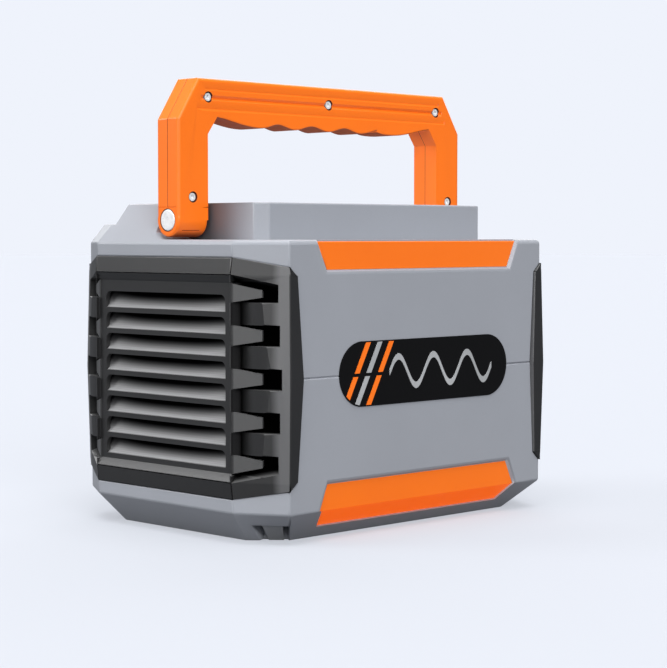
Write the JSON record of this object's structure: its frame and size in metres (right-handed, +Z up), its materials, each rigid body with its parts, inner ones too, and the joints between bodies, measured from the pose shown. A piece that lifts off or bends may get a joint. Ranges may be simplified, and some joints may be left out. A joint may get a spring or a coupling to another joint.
{
  "type": "portable power station",
  "caption": "Portable power station: eight-sided grey housing with louvred fan ends, a front socket panel and a folding orange carry handle over a raised top block.",
  "frame": {"origin": "centre of the base face, on the surface the station stands on", "axes": "+Z up, X along the length between the louvred ends, +Y towards the control panel, -Y the back with the label"},
  "size_m": [0.2326, 0.1674, 0.241],
  "materials": {
    "grey_housing": "moulded ABS, fine spark texture",
    "orange_plastic": "moulded ABS, satin",
    "orange_print": "printed stripe",
    "grey_print": "printed line",
    "black_label": "satin label plate",
    "black_plastic": "moulded ABS, fine texture",
    "panel_plastic": "moulded ABS, fine texture",
    "dark_fan_plastic": "glass-filled plastic",
    "bright_steel": "nickel plated",
    "black_steel": "black oxide",
    "spring_steel": "drawn wire",
    "foot_rubber": "moulded rubber",
    "button_plastic": "satin",
    "display_glass": "smoked acrylic window",
    "display_screen": "liquid crystal display",
    "lamp_plastic": "frosted diffuser",
    "circuit_board": "solder mask",
    "switch_plastic": "moulded",
    "socket_plastic": "moulded nylon",
    "cap_rubber": "moulded rubber",
    "socket_steel": "tinned shell",
    "cell_wrap": "cell with shrink wrap",
    "holder_plastic": "moulded",
    "bracket_metal": "bent sheet",
    "heat_sink_metal": "extruded",
    "core_iron": "ferrite core",
    "copper_winding": "enamelled wire",
    "capacitor_can": "sleeved can"
  },
  "bodies": {
    "housing": {"ac_outlet_1": "socket_plastic", "ac_outlet_2": "socket_plastic", "badge_plate": "black_label", "badge_stripe_grey": "grey_print", "badge_stripes_orange": "orange_print", "badge_wave": "grey_print", "battery_bracket": "bracket_metal", "battery_cells": "cell_wrap", "battery_management_board": "circuit_board", "board_standoffs": "bracket_metal", "button_switches": "switch_plastic", "capacitors": "capacitor_can", "car_cap_hinge_pin": "spring_steel", "car_socket": "socket_plastic", "charge_input_jack": "socket_plastic", "dc_output_jacks": "socket_plastic", "display_board": "circuit_board", "display_lens": "display_glass", "display_module": "display_screen", "front_heat_sink": "heat_sink_metal", "front_panel": "panel_plastic", "housing_screws": "black_steel", "inverter_board": "circuit_board", "lamp_board": "circuit_board", "lamp_lens": "lamp_plastic", "left_fan_frame": "dark_fan_plastic", "left_grille_frame": "black_plastic", "left_louvre_panel": "black_plastic", "left_pivot_pin": "bright_steel", "lower_back_trim": "orange_plastic", "lower_cell_holder": "holder_plastic", "lower_housing": "grey_housing", "output_board": "circuit_board", "panel_screws": "black_steel", "rear_heat_sink": "heat_sink_metal", "right_fan_frame": "dark_fan_plastic", "right_grille_frame": "black_plastic", "right_louvre_panel": "black_plastic", "right_pivot_pin": "bright_steel", "rubber_feet": "foot_rubber", "top_trim": "orange_plastic", "transformer_core": "core_iron", "transformer_winding": "copper_winding", "upper_cell_holder": "holder_plastic", "upper_housing": "grey_housing", "usb_a_sockets": "socket_steel", "usb_c_sockets": "socket_steel"},
    "handle": {"handle_front_shell": "orange_plastic", "handle_rear_shell": "orange_plastic", "left_handle_knuckle": "orange_plastic", "right_handle_knuckle": "orange_plastic", "handle_screws": "bright_steel"},
    "left_fan_rotor": {"left_fan_rotor": "dark_fan_plastic"},
    "right_fan_rotor": {"right_fan_rotor": "dark_fan_plastic"},
    "power_button": {"power_button": "button_plastic"},
    "light_button": {"light_button": "button_plastic"},
    "ac_button": {"ac_button": "button_plastic"},
    "dc_button": {"dc_button": "button_plastic"},
    "car_socket_cap": {"car_socket_cap": "cap_rubber"}
  },
  "joints": [
    {"name": "handle_fold", "type": "hinge", "parent": "housing", "child": "handle", "pos_m": [0, 0, 0.1658], "axis": [1, 0, 0], "range_deg": [0, 90]},
    {"name": "left_fan_spin", "type": "hinge", "parent": "housing", "child": "left_fan_rotor", "pos_m": [-0.0965, 0, 0.08485], "axis": [1, 0, 0], "continuous": true},
    {"name": "right_fan_spin", "type": "hinge", "parent": "housing", "child": "right_fan_rotor", "pos_m": [0.0965, 0, 0.08485], "axis": [1, 0, 0], "continuous": true},
    {"name": "power_button_press", "type": "slide", "parent": "housing", "child": "power_button", "axis": [0, -1, 0], "range_m": [0, 0.0012], "stiffness_N_per_m": 400, "springref_m": -0.001},
    {"name": "light_button_press", "type": "slide", "parent": "housing", "child": "light_button", "axis": [0, -1, 0], "range_m": [0, 0.0012], "stiffness_N_per_m": 400, "springref_m": -0.001},
    {"name": "ac_button_press", "type": "slide", "parent": "housing", "child": "ac_button", "axis": [0, -1, 0], "range_m": [0, 0.0012], "stiffness_N_per_m": 400, "springref_m": -0.001},
    {"name": "dc_button_press", "type": "slide", "parent": "housing", "child": "dc_button", "axis": [0, -1, 0], "range_m": [0, 0.0012], "stiffness_N_per_m": 400, "springref_m": -0.001},
    {"name": "car_socket_cap_swing", "type": "hinge", "parent": "housing", "child": "car_socket_cap", "pos_m": [0.02, 0.08215, 0.071], "axis": [1, 0, 0], "range_deg": [0, 120]}
  ]
}
